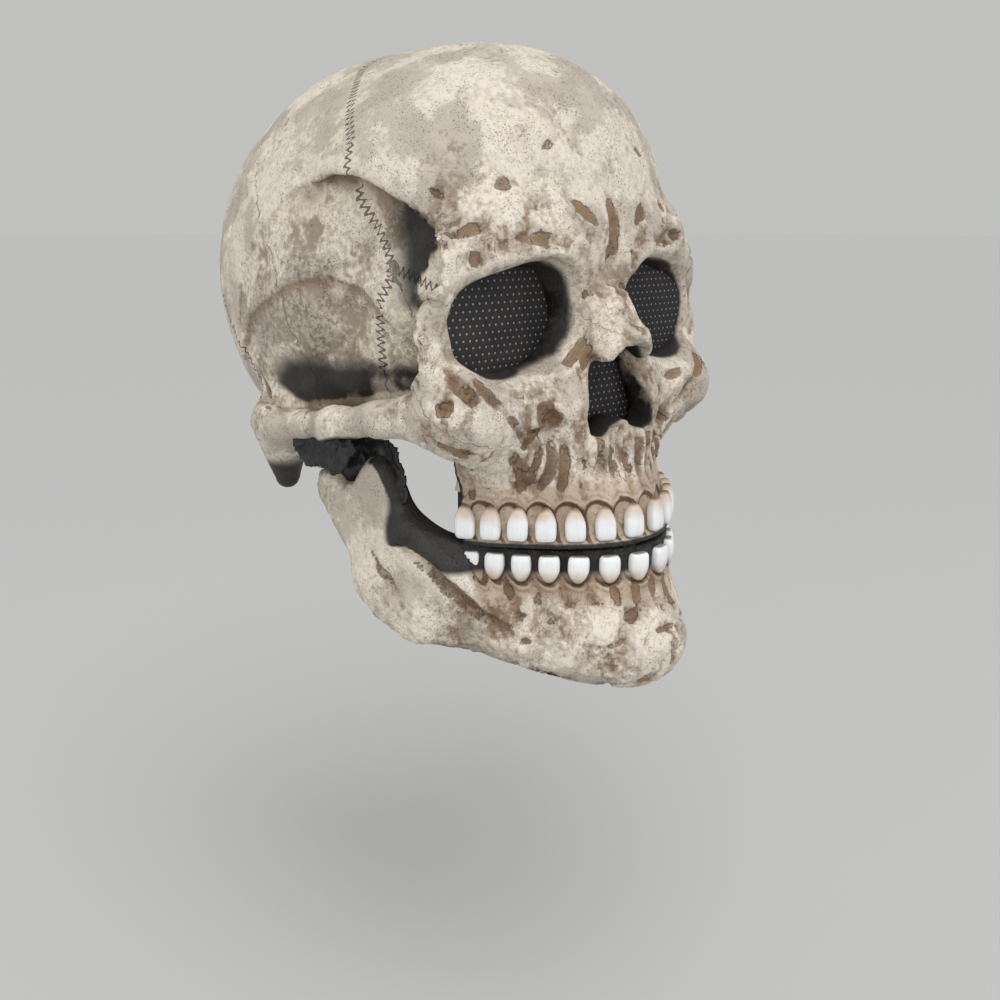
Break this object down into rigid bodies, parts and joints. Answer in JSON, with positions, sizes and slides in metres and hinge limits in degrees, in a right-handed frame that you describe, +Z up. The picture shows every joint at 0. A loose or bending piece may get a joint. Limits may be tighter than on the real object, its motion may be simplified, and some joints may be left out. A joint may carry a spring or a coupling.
{
  "type": "latex skull mask",
  "caption": "Full-head latex skull mask with a moving lower jaw on press studs, screened eye and nose openings, foam pads and an inner headband.",
  "frame": {"origin": "centre of the crown pad's flat underside, where the crown of the wearer's head bears", "axes": "+Z up to the crown, the face looks along -Y, +X to the wearer's left"},
  "size_m": [0.1828, 0.256, 0.2686],
  "materials": {
    "latex_bone": "painted latex, matt, brown wash in the hollows",
    "latex_black": "black latex, matt",
    "screen_cloth": "black perforated cloth",
    "foam": "open-cell foam",
    "webbing": "woven elastic",
    "black_plastic": "moulded, satin",
    "nickel_snap": "nickel plated"
  },
  "bodies": {
    "skull": {"skull_shell": "latex_bone", "eye_screen_right": "screen_cloth", "eye_screen_left": "screen_cloth", "nose_screen": "screen_cloth", "forehead_pad": "foam", "crown_pad": "foam", "occiput_pad": "foam", "temple_pad_right": "foam", "temple_pad_left": "foam", "headband": "webbing", "headband_patch_right": "latex_black", "hinge_tab_right": "latex_black", "jaw_elastic_patch_right": "latex_black", "jaw_elastic_right": "webbing", "snap_socket_right": "nickel_snap", "headband_patch_left": "latex_black", "hinge_tab_left": "latex_black", "jaw_elastic_patch_left": "latex_black", "jaw_elastic_left": "webbing", "snap_socket_left": "nickel_snap"},
    "jaw": {"jaw_shell": "latex_bone", "chin_pad": "foam", "chin_strap": "webbing", "snap_stud_right": "nickel_snap", "snap_stud_left": "nickel_snap", "chin_strap_patch_right": "latex_black", "chin_strap_patch_left": "latex_black"},
    "adjuster": {"headband_slider": "black_plastic"}
  },
  "joints": [
    {"name": "jaw_hinge", "type": "hinge", "parent": "skull", "child": "jaw", "pos_m": [0, -0.016, -0.158], "axis": [1, 0, 0], "range_deg": [0, 20], "stiffness_Nm_per_rad": 0.3, "springref_deg": -20.05, "deforming": ["jaw_elastic_right", "jaw_elastic_left"]},
    {"name": "band_slide", "type": "slide", "parent": "skull", "child": "adjuster", "axis": [1, 0, 0], "range_m": [-0.015, 0.015]}
  ]
}
